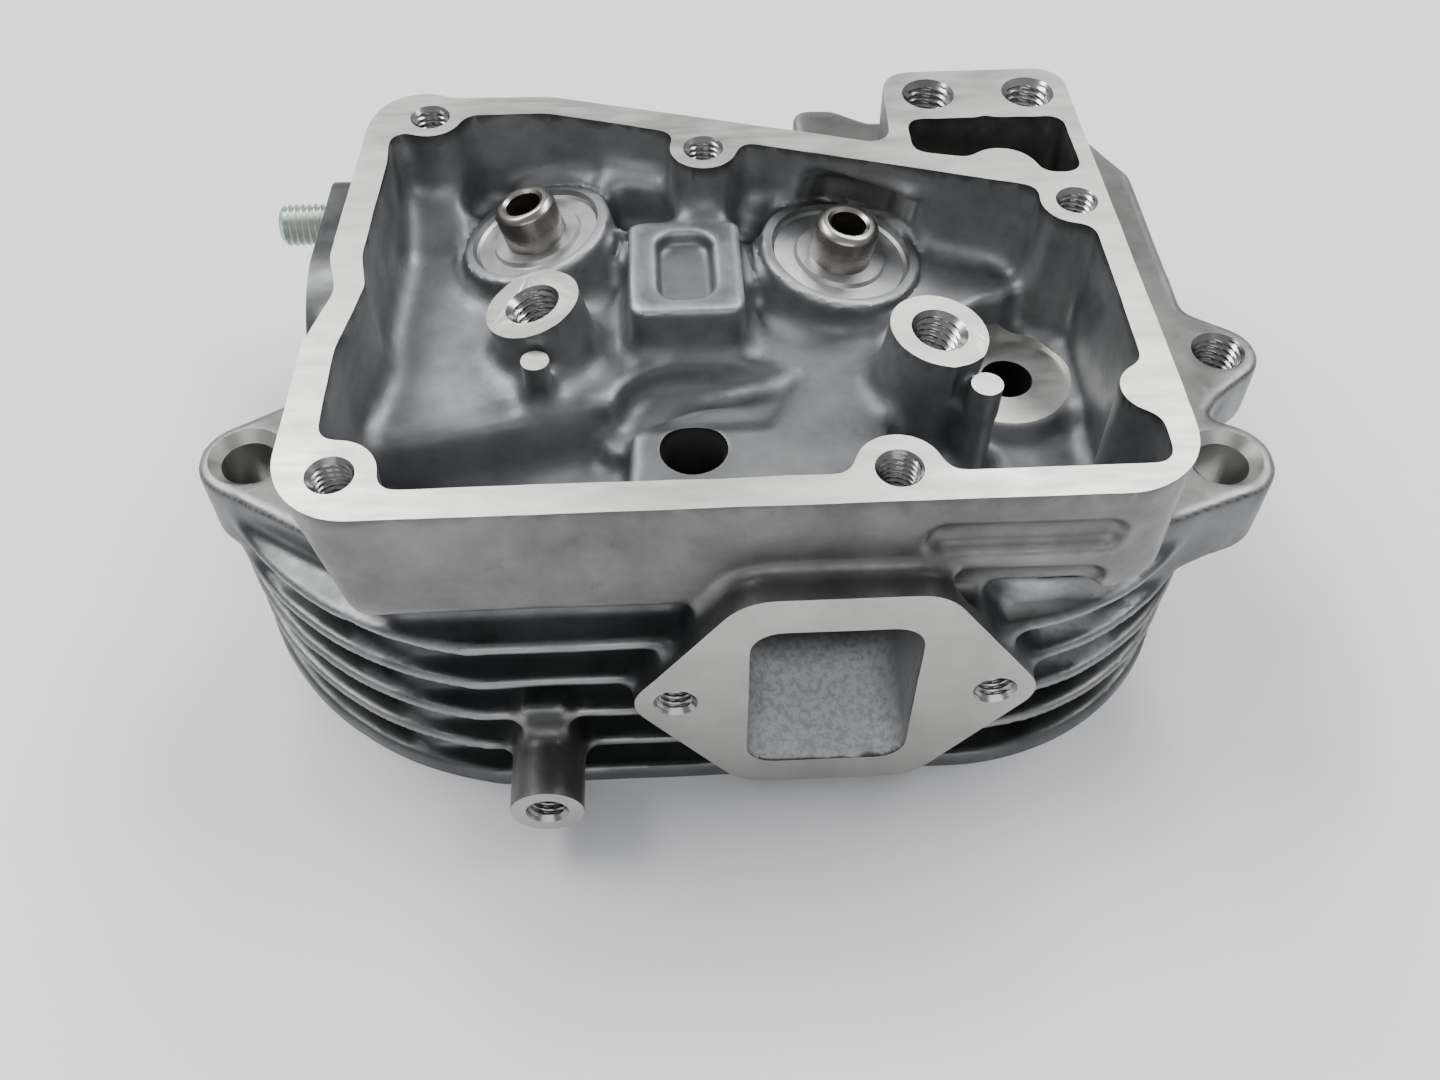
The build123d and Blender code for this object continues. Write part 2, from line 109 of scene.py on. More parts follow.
# boxes, as a low and a high corner
CAVITY = ((-53, -66, 24), (65, 21, 64))
CAVITY_WINDOW = ((-54, -67, 22), (66, 22, 63))
PAD = ((-13, -25, 52.5), (11.5, 1.0, 64))
LEFT_STEP = ((-50, -42, 36), (-12, -28, 47))
TROUGH = ((-15, -38, 38), (22, -22, 47))
INTAKE_RELIEF = ((8, -20, 54), (44, 14, 64))
BOX_SKIN = ((-53.5, -67, -FAR), (65.2, 21.2, 65.9))
BOX_MIDDLE = ((-12, -66, 44), (30, 3, FAR))
DUCT = ((5, -75.4, 8), (32, -9, 45.2))
SHROUD_BOSS = ((-32, -FAR, -FAR), (-18, -71, 22))

# slopes in the rocker box floor; a slant turns height above a slope into distance from it
LEFT_EDGE = (-49, -38.6)
LEFT_EDGE_TURN = 0.219
LEFT_DROP = 0.5
LEFT_FALL = 2.1
LEFT_SLANT = 0.43
TROUGH_FLOOR = 41.5
TROUGH_START = 1
TROUGH_RISE = 0.3
TROUGH_SLANT = 0.95
TROUGH_TOP = 45.4
TROUGH_BACK = -33
TROUGH_BACK_RUN = 7
TROUGH_BACK_RISE = 1.7
RELIEF_HEIGHT = 7.8
RELIEF_DEPTH = 3.4
RELIEF_OVERLAP = 0.4

# camera
CAMERA_AT = (-3.29, -183.27, 200.0)
CAMERA_FORWARD = (0.02977, 0.62657, -0.77879)
CAMERA_LENS = 33.825


def axis_of(valve):
    """Direction of a valve stem, upwards."""
    turn = math.radians(STEM_TURN)
    lean = math.radians(valve["lean"])
    return Vector((math.sin(lean) * math.cos(turn), -math.sin(lean) * math.sin(turn), math.cos(lean)))


def place(origin, axis):
    """Matrix that puts +Z along axis at origin."""
    return Matrix.Translation(Vector(origin)) @ Vector(axis).to_track_quat("Z", "Y").to_matrix().to_4x4()


def local(matrix, x, y, z):
    """Positions as seen in the frame that matrix places."""
    back = matrix.inverted()
    return [back[r][0] * x + back[r][1] * y + back[r][2] * z + back[r][3] for r in range(3)]


def depth_inside(low, high, x, y, z):
    """How far positions lie inside a box, negative outside."""
    depth = np.minimum(np.minimum(x - low[0], high[0] - x), np.minimum(y - low[1], high[1] - y))
    return np.minimum(depth, np.minimum(z - low[2], high[2] - z))


def within(points, box):
    """Which of the points lie in a box."""
    low, high = box
    return np.all((points > low) & (points < high), axis=1)


UP = Vector((0, 0, 1))
SHROUD_PLACE = place((SHROUD_SCREW[0], BOSS_FACE, SHROUD_SCREW[1]), (0, -1, 0))
MILLED, TAPPED, BORED, TURNED = 1, 2, 3, 4
VALVES = (("exhaust", EXHAUST), ("intake", INTAKE))
VALVE_PLACE = {name: place(valve["at"], axis_of(valve)) for name, valve in VALVES}
BOSS_PLACE = {"exhaust": place(EXHAUST_ROCKER_BOSS, axis_of(EXHAUST)),
              "intake": place(INTAKE_ROCKER_BOSS, axis_of(INTAKE))}
PLUG_TILT = math.radians(40)
PLUG_PLACE = place((4.0, 16.0, 9.3), (0, math.cos(PLUG_TILT), math.sin(PLUG_TILT)))


# ---------------------------------------------------------------- distance field of the casting
class Field:
    """Signed distance of the casting on a regular grid, negative inside, in millimetres."""

    BAND = 9.0

    def __init__(self, obj, voxel, margin):
        self.voxel = voxel
        mesh = obj.data
        points = np.empty(len(mesh.vertices) * 3, dtype=np.float32)
        mesh.vertices.foreach_get("co", points)
        points = points.reshape(-1, 3) / MM
        mesh.calc_loop_triangles()
        triangles = np.empty(len(mesh.loop_triangles) * 3, dtype=np.int32)
        mesh.loop_triangles.foreach_get("vertices", triangles)
        low = points.min(axis=0) - margin
        high = points.max(axis=0) + margin
        self.low = np.floor(low / voxel).astype(int)
        self.size = np.ceil(high / voxel).astype(int) - self.low
        self.read(points, triangles.reshape(-1, 3).astype(np.uint32), None)

    def read(self, points, triangles, quads):
        """Distances to a closed mesh."""
        grid = vdb.FloatGrid.createLevelSetFromPolygons(
            points.astype(np.float32), triangles=triangles, quads=quads,
            transform=vdb.createLinearTransform(voxelSize=self.voxel), halfWidth=self.BAND)
        self.values = np.empty(tuple(self.size), dtype=np.float32)
        grid.copyToArray(self.values, ijk=tuple(int(v) for v in self.low))

    def axes(self):
        """Millimetre positions along the three sides of the grid."""
        return [(np.arange(n) + self.low[i]) * self.voxel for i, n in enumerate(self.size)]

    def polygons(self, level):
        """Mesh of the surface at a level."""
        background = float(self.values.max())
        grid = vdb.FloatGrid(background)
        grid.transform = vdb.createLinearTransform(voxelSize=self.voxel)
        grid.gridClass = vdb.GridClass.LEVEL_SET
        grid.copyFromArray(np.ascontiguousarray(self.values), ijk=tuple(int(v) for v in self.low))
        return grid.convertToPolygons(isovalue=level)

    def window(self, low, high):
        """Slices of the grid between two corners, and the positions in them."""
        cut = []
        for i in range(3):
            first = int(np.clip(math.floor(low[i] / self.voxel) - self.low[i], 0, self.size[i]))
            last = int(np.clip(math.ceil(high[i] / self.voxel) - self.low[i] + 1, 0, self.size[i]))
            cut.append(slice(first, last))
        x, y, z = [axis[s] for axis, s in zip(self.axes(), cut)]
        return tuple(cut), x[:, None, None], y[None, :, None], z[None, None, :]

    def add_rod(self, matrix, radius, bottom, top):
        """Joins a round bar, given in its own frame by matrix, to the metal."""
        ends = [matrix @ Vector((0, 0, h)) for h in (bottom, top)]
        reach = radius + 6
        low = [min(e[i] for e in ends) - reach for i in range(3)]
        high = [max(e[i] for e in ends) + reach for i in range(3)]
        cut, x, y, z = self.window(low, high)
        lx, ly, lz = local(matrix, x, y, z)
        side = np.sqrt(lx ** 2 + ly ** 2) - radius
        end = np.maximum(bottom - lz, lz - top)
        outside = np.sqrt(np.maximum(side, 0) ** 2 + np.maximum(end, 0) ** 2)
        self.values[cut] = np.minimum(self.values[cut], outside + np.minimum(np.maximum(side, end), 0))

    def close(self, radius):
        """Fills inside corners to a radius."""
        points, triangles, quads = self.polygons(radius)
        self.read(points, triangles, quads)
        points, triangles, quads = self.polygons(-radius)
        self.read(points, triangles, quads)

    def blurred(self, values, sigma):
        """Softened copy of values on the grid; sigma in millimetres."""
        reach = max(1, int(math.ceil(2.5 * sigma / self.voxel)))
        taps = np.exp(-0.5 * (np.arange(-reach, reach + 1) * self.voxel / sigma) ** 2)
        taps /= taps.sum()
        for axis in range(3):
            padded = np.pad(values, [(reach, reach) if a == axis else (0, 0) for a in range(3)], mode="edge")
            total = np.zeros_like(values)
            for k, tap in enumerate(taps):
                cut = [slice(None)] * 3
                cut[axis] = slice(k, k + values.shape[axis])
                total += np.float32(tap) * padded[tuple(cut)]
            values = total
        return values

    def at(self, values, points):
        """Values of the grid at points, blended between its corners."""
        place_in_grid = np.clip(points / self.voxel - self.low, 0, self.size - 1.001)
        base = place_in_grid.astype(int)
        part = (place_in_grid - base).astype(np.float32)
        total = np.zeros(len(points), dtype=np.float32)
        for corner in np.ndindex(2, 2, 2):
            weight = np.prod([part[:, a] if corner[a] else 1 - part[:, a] for a in range(3)], axis=0)
            total += weight * values[tuple(base[:, a] + corner[a] for a in range(3))]
        return total


def smooth_noise(field, scale, seed):
    """Soft random values on the field's grid, with features of about scale millimetres."""
    rng = np.random.default_rng(seed)
    coarse = [max(3, int(n * field.voxel / scale) + 2) for n in field.size]
    noise = rng.standard_normal(coarse).astype(np.float32)
    for axis in range(3):
        n = field.size[axis]
        at = np.linspace(0, coarse[axis] - 1.001, n)
        base = at.astype(int)
        t = (at - base).astype(np.float32)
        t = t * t * (3 - 2 * t)
        shape = [1, 1, 1]
        shape[axis] = n
        t = t.reshape(shape)
        noise = np.take(noise, base, axis=axis) * (1 - t) + np.take(noise, base + 1, axis=axis) * t
    return noise


def carry(field, axis, at, outward, low, high):
    """Raises machining stock: repeats the layer just inside a machined face beyond it."""
    index = int(round(at / field.voxel)) - field.low[axis]
    cut, _, _, _ = field.window(low, high)
    cut = list(cut)
    if outward > 0:
        cut[axis] = slice(index + 1, field.size[axis])
    else:
        cut[axis] = slice(0, index)
    source = list(cut)
    source[axis] = slice(index, index + 1)
    field.values[tuple(cut)] = field.values[tuple(source)]


def stock(field):
    """Metal left on before machining: plugged holes and raised faces."""
    for x, y in COVER_SCREWS:
        field.add_rod(place((x, y, COVER_FACE), UP), M6_BAR, -M6_DEPTH - 2, PROUD)
    for x, y in BRACKET_SCREWS:
        field.add_rod(place((x, y, COVER_FACE), UP), M8_BAR, -M8_DEPTH - 2, PROUD)
    for x, z in INTAKE_SCREWS:
        field.add_rod(place((x, INTAKE_FACE, z), (0, -1, 0)), M6_BAR, -M6_DEPTH - 1, PROUD)
    field.add_rod(SHROUD_PLACE, SHROUD_BAR, -M6_DEPTH - 1, PROUD)
    field.add_rod(place((*THREADED_EAR, DECK), UP), EAR_THREAD_BAR, -11.6, -UNDER)
    for x, y in PLAIN_EARS:
        field.add_rod(place((x, y, DECK), UP), EAR_BAR, -11, -UNDER)
    field.add_rod(place((*HEAD_BOLTS[0], 46), UP), OIL_BAR, -40, -2 * UNDER)
    field.add_rod(place((*HEAD_BOLTS[1], 42), UP), SPOT_BAR, -36, -UNDER)
    for name, depth in (("exhaust", -14), ("intake", -23)):
        field.add_rod(BOSS_PLACE[name], ROCKER_BOSS_RADIUS, depth, PROUD)
    for x, y, top, radius in POSTS:
        field.add_rod(place((x, y, top), UP), radius, -10, PROUD)
    for name, valve in VALVES:
        field.add_rod(VALVE_PLACE[name], valve["ring"], -4, 0)
        field.add_rod(VALVE_PLACE[name], GUIDE_BAR, -22, 0)
        seat_top = SEAT_HEIGHT - valve["drop"]
        field.add_rod(VALVE_PLACE[name], valve["seat"] + SEAT_WALL, seat_top - 5.5, seat_top + 0.5)
    field.add_rod(PLUG_PLACE, PLUG_BAR, 1, PLUG_THREAD - UNDER)
    carry(field, 2, COVER_FACE - 0.8, 1, (-FAR, -FAR, 60), (FAR, FAR, FAR))
    carry(field, 2, 1.0, -1, (-FAR, -FAR, -FAR), (FAR, FAR, 2))
    carry(field, 1, INTAKE_FACE + 1.0, -1, (-15, -FAR, 1), (55, INTAKE_FACE + 2, 55))
    carry(field, 0, EXHAUST_FACE + 1.0, -1, (-FAR, -24, 3), (EXHAUST_FACE + 2, 47, 48))


# ---------------------------------------------------------------- mesh helpers
def make_object(name, points, faces, material=None):
    """Mesh object from millimetre points."""
    mesh = bpy.data.meshes.new(name)
    mesh.from_pydata([tuple(c * MM for c in p) for p in points], [], faces)
    mesh.validate()
    mesh.update()
    obj = bpy.data.objects.new(name, mesh)
    bpy.context.scene.collection.objects.link(obj)
    if material:
        mesh.materials.append(material)
    return obj


def rings(profile, matrix, segments):
    """Points of circles from (radius, height) pairs."""
    points = []
    for radius, height in profile:
        for i in range(segments):
            a = 2 * math.pi * i / segments
            points.append(matrix @ Vector((radius * math.cos(a), radius * math.sin(a), height)))
    return points


def tube_faces(rows, segments, closed):
    """Faces between circles; closed joins the last circle to the first, otherwise both ends are capped."""
    faces = []
    for j in range(rows if closed else rows - 1):
        n = (j + 1) % rows
        for i in range(segments):
            k = (i + 1) % segments
            faces.append((j * segments + i, j * segments + k, n * segments + k, n * segments + i))
    if not closed:
        faces.append(tuple(reversed(range(segments))))
        faces.append(tuple((rows - 1) * segments + i for i in range(segments)))
    return faces


def lathe(profile, matrix, segments=64):
    """Points and faces of a capped turned shape from (radius, height) pairs."""
    return rings(profile, matrix, segments), tube_faces(len(profile), segments, False)


def thread_form(thread, turn):
    """Radius of a thread between minor and major over one turn, with flattened crest and root."""
    root = 0.12
    flank = 0.72
    wave = abs(2 * (turn % 1.0) - 1)
    wave = min(1.0, max(0.0, (wave - root) / flank))
    return thread["minor"] + (thread["major"] - thread["minor"]) * wave


def screw(thread, matrix, bottom, top, mouth=None, end_chamfer=0.0, shank=0.0):
    """Points and faces of a threaded bar, also used to cut a tapped hole with a chamfered mouth."""
    steps_per_turn = 10
    segments = 48
    count = int(round((top - bottom) / thread["pitch"] * steps_per_turn))
    heights = [bottom + (top - bottom) * j / count for j in range(count + 1)]
    points = []
    for height in heights:
        for i in range(segments):
            turn = i / segments
            radius = thread_form(thread, height / thread["pitch"] - turn)
            if mouth is not None and height > -(mouth - thread["minor"]):
                radius = max(radius, mouth + height) if height < 0 else mouth
            if shank and height < 0:
                radius = shank
            if end_chamfer:
                radius = min(radius, thread["major"] - end_chamfer + max(0.0, top - height))
            a = 2 * math.pi * turn
            points.append(matrix @ Vector((radius * math.cos(a), radius * math.sin(a), height)))
    return points, tube_faces(len(heights), segments, False)


def block(low, high):
    """Points and faces of a box."""
    x0, y0, z0 = low
    x1, y1, z1 = high
    points = [Vector(p) for p in ((x0, y0, z0), (x1, y0, z0), (x1, y1, z0), (x0, y1, z0),
                                  (x0, y0, z1), (x1, y0, z1), (x1, y1, z1), (x0, y1, z1))]
    faces = [(0, 3, 2, 1), (4, 5, 6, 7), (0, 1, 5, 4), (1, 2, 6, 5), (2, 3, 7, 6), (3, 0, 4, 7)]
    return points, faces


def joined(name, parts, materials):
    """One object from (points, faces, material index) parts."""
    points = []
    faces = []
    slots = []
    for part_points, part_faces, slot in parts:
        start = len(points)
        points.extend(part_points)
        faces.extend(tuple(i + start for i in face) for face in part_faces)
        slots.extend([slot] * len(part_faces))
    obj = make_object(name, points, faces)
    for material in materials:
        obj.data.materials.append(material)
    obj.data.polygons.foreach_set("material_index", slots)
    return obj


def apply_modifiers(obj):
    """Bakes an object's modifiers into its mesh."""
    graph = bpy.context.evaluated_depsgraph_get()
    mesh = bpy.data.meshes.new_from_object(obj.evaluated_get(graph))
    old = obj.data
    obj.modifiers.clear()
    obj.data = mesh
    bpy.data.meshes.remove(old)


def cut_away(obj, cutter):
    """Subtracts a cutter and carries its materials over."""
    step = obj.modifiers.new("cut", "BOOLEAN")
    step.object = cutter
    step.operation = "DIFFERENCE"
    step.solver = "MANIFOLD"
    apply_modifiers(obj)
    bpy.data.objects.remove(cutter)


# ---------------------------------------------------------------- materials
def new_material(name):
    """Material with its nodes, links and shader."""
    material = bpy.data.materials.new(name)
    material.use_nodes = True
    nodes = material.node_tree.nodes
    return material, nodes, material.node_tree.links, nodes["Principled BSDF"]


def noise_node(nodes, links, scale, detail, coords, roughness=0.5):
    node = nodes.new("ShaderNodeTexNoise")
    node.inputs["Scale"].default_value = scale
    node.inputs["Detail"].default_value = detail
    node.inputs["Roughness"].default_value = roughness
    links.new(coords, node.inputs["Vector"])
    return node.outputs["Fac"]


def ramp(nodes, links, value, low, high, out_low, out_high):
    """Carries low..high over to out_low..out_high."""
    node = nodes.new("ShaderNodeMapRange")
    node.inputs["From Min"].default_value = low
    node.inputs["From Max"].default_value = high
    node.inputs["To Min"].default_value = out_low
    node.inputs["To Max"].default_value = out_high
    links.new(value, node.inputs["Value"])
    return node.outputs["Result"]


def mix_color(nodes, links, factor, a, b):
    """Mixes two fixed colours."""
    node = nodes.new("ShaderNodeMix")
    node.data_type = "RGBA"
    node.inputs["A"].default_value = (*a, 1)
    node.inputs["B"].default_value = (*b, 1)
    links.new(factor, node.inputs["Factor"])
    return node.outputs["Result"]


def add_bump(nodes, links, shader, height, strength, distance, before):
    """Adds a layer of relief on top of the one before it."""
    node = nodes.new("ShaderNodeBump")
    node.inputs["Strength"].default_value = strength
    node.inputs["Distance"].default_value = distance
    links.new(height, node.inputs["Height"])
    if before is not None:
        links.new(before, node.inputs["Normal"])
    links.new(node.outputs["Normal"], shader.inputs["Normal"])
    return node.outputs["Normal"]


def metal_material(name, dark, light, rough, bumps, tone_scale=60.0, stretch=(1, 1, 1)):
    """Metal with patchy tone and roughness and layers of fine relief."""
    material, nodes, links, shader = new_material(name)
    coords = nodes.new("ShaderNodeTexCoord").outputs["Object"]
    grain = nodes.new("ShaderNodeVectorMath")
    grain.operation = "MULTIPLY"
    grain.inputs[1].default_value = stretch
    links.new(coords, grain.inputs[0])
    tone = noise_node(nodes, links, tone_scale, 6.0, grain.outputs["Vector"], 0.6)
    links.new(mix_color(nodes, links, ramp(nodes, links, tone, 0.35, 0.65, 0, 1), dark, light),
              shader.inputs["Base Color"])
    patch = noise_node(nodes, links, tone_scale * 2.3, 4.0, grain.outputs["Vector"], 0.6)
    links.new(ramp(nodes, links, patch, 0.3, 0.7, rough[0], rough[1]), shader.inputs["Roughness"])
    shader.inputs["Metallic"].default_value = 1.0
    before = None
    for scale, strength, distance in bumps:
        height = noise_node(nodes, links, scale, 3.0, coords)
        before = add_bump(nodes, links, shader, height, strength, distance, before)
    return material


def attribute(nodes, name):
    node = nodes.new("ShaderNodeAttribute")
    node.attribute_name = name
    return node.outputs["Fac"]


def blend(nodes, links, factor, a, b, mode="MIX"):
    """Mixes two colours that are already sockets."""
    node = nodes.new("ShaderNodeMix")
    node.data_type = "RGBA"
    node.blend_type = mode
    for socket, value in (("Factor", factor), ("A", a), ("B", b)):
        if isinstance(value, (int, float)):
            node.inputs[socket].default_value = value
        else:
            links.new(value, node.inputs[socket])
    return node.outputs["Result"]


def cast_material():
    """Die-cast skin: greyer in the rocker box, partly as painted shade; lighter on convex edges, partly
    rubbed wear and partly painted highlight; painted shade on upward faces, low on the outside and deep in
    the rocker box; painted light on the intake port floor; stained in patches.
    """
    material, nodes, links, shader = new_material("cast_aluminium")
    coords = nodes.new("ShaderNodeTexCoord").outputs["Object"]
    tone = ramp(nodes, links, noise_node(nodes, links, 70.0, 7.0, coords, 0.62), 0.36, 0.64, 0, 1)
    # rocker box inside and outer walls get their own tones of the same skin: partly the skin's own tone,
    # partly painted light and shade set to how each is lit
    outer = mix_color(nodes, links, tone, (0.15, 0.15, 0.147), (0.23, 0.23, 0.225))
    inner = mix_color(nodes, links, tone, (0.23, 0.236, 0.245), (0.35, 0.355, 0.363))
    inside = attribute(nodes, "inside")
    color = blend(nodes, links, inside, outer, inner)
    # convex edges lighter: partly rubbed wear, partly a painted highlight
    edge = attribute(nodes, "edge")
    wear_and_sheen_color = mix_color(nodes, links, inside, (0.36, 0.36, 0.36), (0.36, 0.363, 0.37))
    wear_and_sheen_patches = noise_node(nodes, links, 900.0, 3.0, coords)
    # upward faces darker: painted shade
    top_face_shade = mix_color(nodes, links, attribute(nodes, "level"), (1.0, 1.0, 1.0), (0.42, 0.42, 0.415))
    color = blend(nodes, links, 1.0, color, top_face_shade, "MULTIPLY")
    # painted shade: low outer faces a little darker and bluer, the deep rocker box floor and pockets much
    # darker
    for name, tint in (("shade", (0.94, 0.97, 1.0)), ("deep_shade", (0.40, 0.41, 0.43))):
        darker = mix_color(nodes, links, attribute(nodes, name), (1, 1, 1), tint)
        color = blend(nodes, links, 1.0, color, darker, "MULTIPLY")
    product = nodes.new("ShaderNodeMath")
    product.operation = "MULTIPLY"
    links.new(edge, product.inputs[0])
    links.new(ramp(nodes, links, wear_and_sheen_patches, 0.35, 0.6, 0.78, 1.0), product.inputs[1])
    color = blend(nodes, links, product.outputs[0], color, wear_and_sheen_color)
    stain = ramp(nodes, links, noise_node(nodes, links, 210.0, 5.0, coords, 0.7), 0.60, 0.74, 0.0, 0.35)
    dark = mix_color(nodes, links, stain, (1, 1, 1), (0.35, 0.36, 0.38))
    color = blend(nodes, links, 1.0, color, dark, "MULTIPLY")
    # painted light: the intake port floor near its mouth brighter and less metallic, over a mottled skin
    port_floor_light = attribute(nodes, "port_floor_light")
    skin = ramp(nodes, links, noise_node(nodes, links, 800.0, 6.0, coords, 0.7), 0.40, 0.56, 0, 1)
    duct = mix_color(nodes, links, skin, (0.66, 0.66, 0.66), (0.98, 0.98, 0.99))
    color = blend(nodes, links, port_floor_light, color, duct)
    links.new(ramp(nodes, links, port_floor_light, 0, 1, 1.0, 0.2), shader.inputs["Metallic"])
    links.new(color, shader.inputs["Base Color"])
    patch = noise_node(nodes, links, 160.0, 5.0, coords, 0.6)
    rough_out = ramp(nodes, links, patch, 0.3, 0.7, 0.36, 0.54)
    rough_in = ramp(nodes, links, patch, 0.3, 0.7, 0.44, 0.62)
    mixed = nodes.new("ShaderNodeMix")
    links.new(inside, mixed.inputs["Factor"])
    links.new(rough_out, mixed.inputs["A"])
    links.new(rough_in, mixed.inputs["B"])
    links.new(mixed.outputs["Result"], shader.inputs["Roughness"])
    before = None
    for scale, strength, distance in ((2600.0, 0.30, 0.00005), (620.0, 0.25, 0.00008), (180.0, 0.25, 0.0002)):
        height = noise_node(nodes, links, scale, 3.0, coords)
        before = add_bump(nodes, links, shader, height, strength, distance, before)
    return material


# dark bore walls: painted shade inside the holes
def shaded_bore_material():
    return metal_material("bored_aluminium_shaded", dark=(0.10, 0.10, 0.105), light=(0.17, 0.17, 0.175),
                          rough=(0.35, 0.5), bumps=((2600.0, 0.2, 0.00004),))


def turned_material():
    return metal_material("turned_aluminium", dark=(0.32, 0.322, 0.325), light=(0.42, 0.422, 0.425),
                          rough=(0.34, 0.46), bumps=((2200.0, 0.2, 0.00003), (400.0, 0.15, 0.00006)),
                          tone_scale=120.0)


def milled_material():
    return metal_material("milled_aluminium", dark=(0.39, 0.387, 0.368), light=(0.53, 0.527, 0.505),
                          rough=(0.32, 0.46), bumps=((1800.0, 0.15, 0.00003), (500.0, 0.1, 0.00004)),
                          tone_scale=55.0, stretch=(1, 4, 1))


# dark tapped threads: painted shade inside the holes
def shaded_thread_material():
    return metal_material("tapped_aluminium_shaded", dark=(0.22, 0.22, 0.22), light=(0.40, 0.395, 0.39),
                          rough=(0.18, 0.30), bumps=((3000.0, 0.15, 0.00003),))


def guide_material():
    return metal_material("ground_steel", dark=(0.24, 0.228, 0.21), light=(0.33, 0.315, 0.29),
                          rough=(0.24, 0.34), bumps=((2200.0, 0.15, 0.00002),), stretch=(1, 1, 5))


def seat_material():
    return metal_material("seat_steel", dark=(0.34, 0.34, 0.34), light=(0.5, 0.5, 0.5),
                          rough=(0.25, 0.35), bumps=((2200.0, 0.2, 0.00003),))


def zinc_material():
    return metal_material("zinc_plating", dark=(0.42, 0.48, 0.44), light=(0.58, 0.63, 0.58),
                          rough=(0.28, 0.42), bumps=((2000.0, 0.2, 0.00003),))


# ---------------------------------------------------------------- the casting
def back_wall(x):
    """Y of the slanting back wall of the rocker box, on its inside."""
    start_x, start_y = BACK_WALL_START
    return start_y - BACK_WALL_SLOPE * (x - start_x)


def fill_slopes(field):
    """Lets two steps in the rocker box floor run down as slopes; clears the wall behind the intake seat."""
    cut, x, y, z = field.window(*LEFT_STEP)
    edge = LEFT_EDGE[1] + (x - LEFT_EDGE[0]) * LEFT_EDGE_TURN
    height = MAIN_FLOOR - LEFT_DROP - LEFT_FALL * np.maximum(edge - y, 0)
    slope = np.maximum((z - height) * LEFT_SLANT, y - edge - 1)
    field.values[cut] = np.minimum(field.values[cut], slope)
    cut, x, y, z = field.window(*TROUGH)
    back = np.clip((y - TROUGH_BACK) / TROUGH_BACK_RUN, 0, 1) * TROUGH_BACK_RISE
    height = np.minimum(TROUGH_FLOOR + np.maximum(x - TROUGH_START, 0) * TROUGH_RISE, TROUGH_TOP + back)
    field.values[cut] = np.minimum(field.values[cut], (z - height) * TROUGH_SLANT)
    cut, x, y, z = field.window(*INTAKE_RELIEF)
    lx, ly, lz = local(VALVE_PLACE["intake"], x, y, z)
    side = np.sqrt(lx ** 2 + ly ** 2) - INTAKE["ring"] + RELIEF_OVERLAP
    room = np.maximum(side, np.maximum(-lz, lz - RELIEF_HEIGHT))
    room = np.maximum(room, y - (back_wall(x) + RELIEF_DEPTH))
    field.values[cut] = np.maximum(field.values[cut], -room)


def crisp_zones(field):
    """Weight of the places whose edges stay crisp: pad top, spring seat rings, posts."""
    weight = np.zeros_like(field.values)
    zones = [PAD]
    for x, y, top, radius in POSTS:
        reach = radius + 3
        zones.append(((x - reach, y - reach, 50), (x + reach, y + reach + 0.5, top + 5)))
    zone_edge = 1.5
    for low, high in zones:
        cut, x, y, z = field.window([v - 1 for v in low], [v + 1 for v in high])
        depth = depth_inside(low, high, x, y, z)
        weight[cut] = np.maximum(weight[cut], np.clip(depth / zone_edge, 0, 1))
    ring_edge = 1.6
    ring_below = 2.6
    for name, valve in VALVES:
        reach = valve["ring"] + 4
        middle = Vector(valve["at"])
        cut, x, y, z = field.window(middle - Vector((reach, reach, 5)), middle + Vector((reach, reach, 5)))
        lx, ly, lz = local(VALVE_PLACE[name], x, y, z)
        depth = np.minimum(valve["ring"] + ring_edge - np.sqrt(lx ** 2 + ly ** 2), lz + ring_below)
        weight[cut] = np.maximum(weight[cut], np.clip(depth / ring_edge, 0, 1))
    return weight


def free_post(field):
    """Clears the metal round the left post and rebuilds the post in the clearing."""
    post_x, post_y, top, radius = POSTS[0]
    reach = 5
    gap = 0.9
    foot = 51
    head = 64
    low = (post_x - reach, post_y - reach, foot)
    cut, x, y, z = field.window(low, (post_x + reach, post_y + reach, head))
    side = np.sqrt((x - post_x) ** 2 + (y - post_y) ** 2) - radius
    body = np.maximum(side, z - top - 1)
    field.values[cut] = np.minimum(np.maximum(field.values[cut], gap - side), body)


